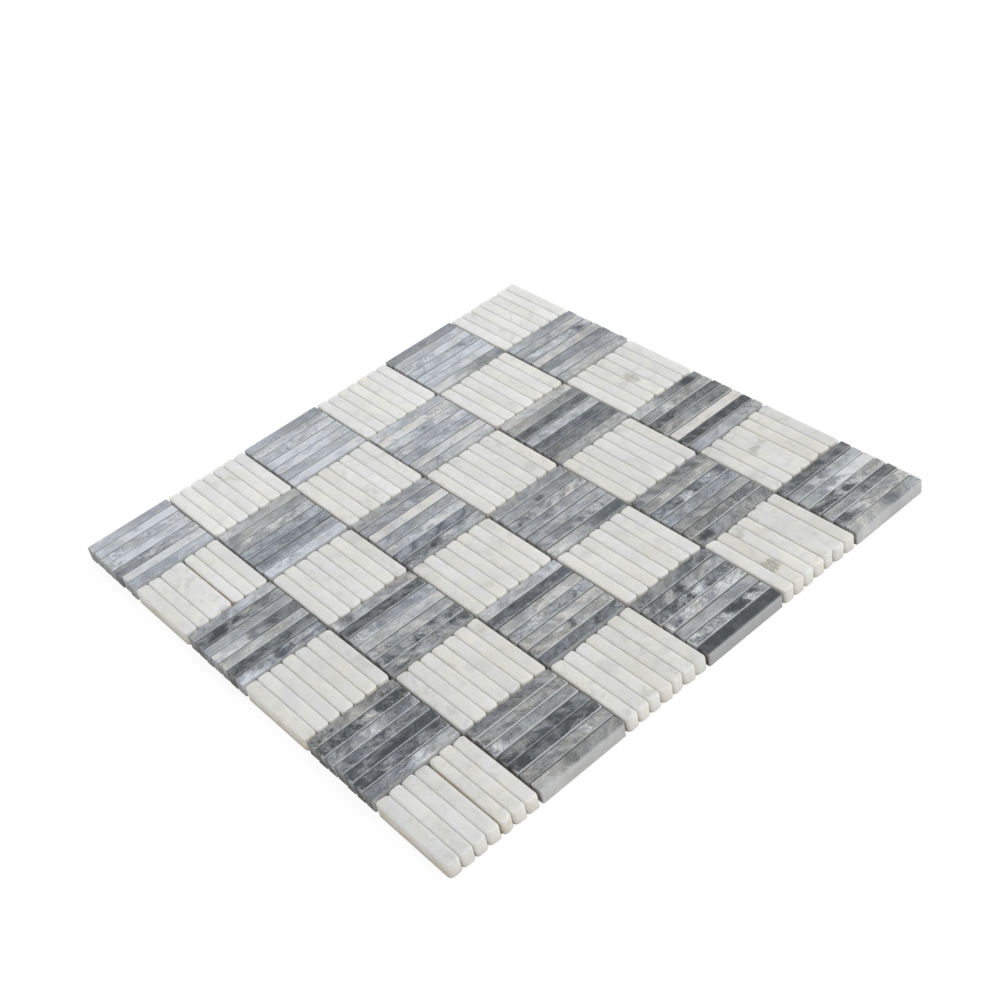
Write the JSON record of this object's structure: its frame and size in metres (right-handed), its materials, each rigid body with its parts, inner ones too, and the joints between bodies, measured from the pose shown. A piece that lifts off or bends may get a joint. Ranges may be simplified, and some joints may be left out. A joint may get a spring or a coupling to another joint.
{
  "type": "mosaic tile sheet",
  "caption": "Square mosaic tile sheet: a parquet of white and grey blocks of parallel marble strips, held together by a glass-fibre mesh on the back.",
  "frame": {"origin": "centre of the sheet's back, in the plane that rests on the floor", "axes": "+Z out of the polished face; the white strips lie along Y and the grey strips along X"},
  "size_m": [0.3038, 0.3038, 0.0084],
  "materials": {
    "white_marble": "satin",
    "grey_marble": "satin",
    "glass_fibre_mesh": "matte"
  },
  "bodies": {
    "root": {"mesh_weft_yarns": "glass_fibre_mesh", "mesh_warp_yarns": "glass_fibre_mesh", "white_block_a1": "white_marble", "grey_block_a2": "grey_marble", "white_block_a3": "white_marble", "grey_block_a4": "grey_marble", "white_block_a5": "white_marble", "grey_block_a6": "grey_marble", "grey_block_b1": "grey_marble", "white_block_b2": "white_marble", "grey_block_b3": "grey_marble", "white_block_b4": "white_marble", "grey_block_b5": "grey_marble", "white_block_b6": "white_marble", "white_block_c1": "white_marble", "grey_block_c2": "grey_marble", "white_block_c3": "white_marble", "grey_block_c4": "grey_marble", "white_block_c5": "white_marble", "grey_block_c6": "grey_marble", "grey_block_d1": "grey_marble", "white_block_d2": "white_marble", "grey_block_d3": "grey_marble", "white_block_d4": "white_marble", "grey_block_d5": "grey_marble", "white_block_d6": "white_marble", "white_block_e1": "white_marble", "grey_block_e2": "grey_marble", "white_block_e3": "white_marble", "grey_block_e4": "grey_marble", "white_block_e5": "white_marble", "grey_block_e6": "grey_marble", "grey_block_f1": "grey_marble", "white_block_f2": "white_marble", "grey_block_f3": "grey_marble", "white_block_f4": "white_marble", "grey_block_f5": "grey_marble", "white_block_f6": "white_marble"}
  },
  "joints": []
}
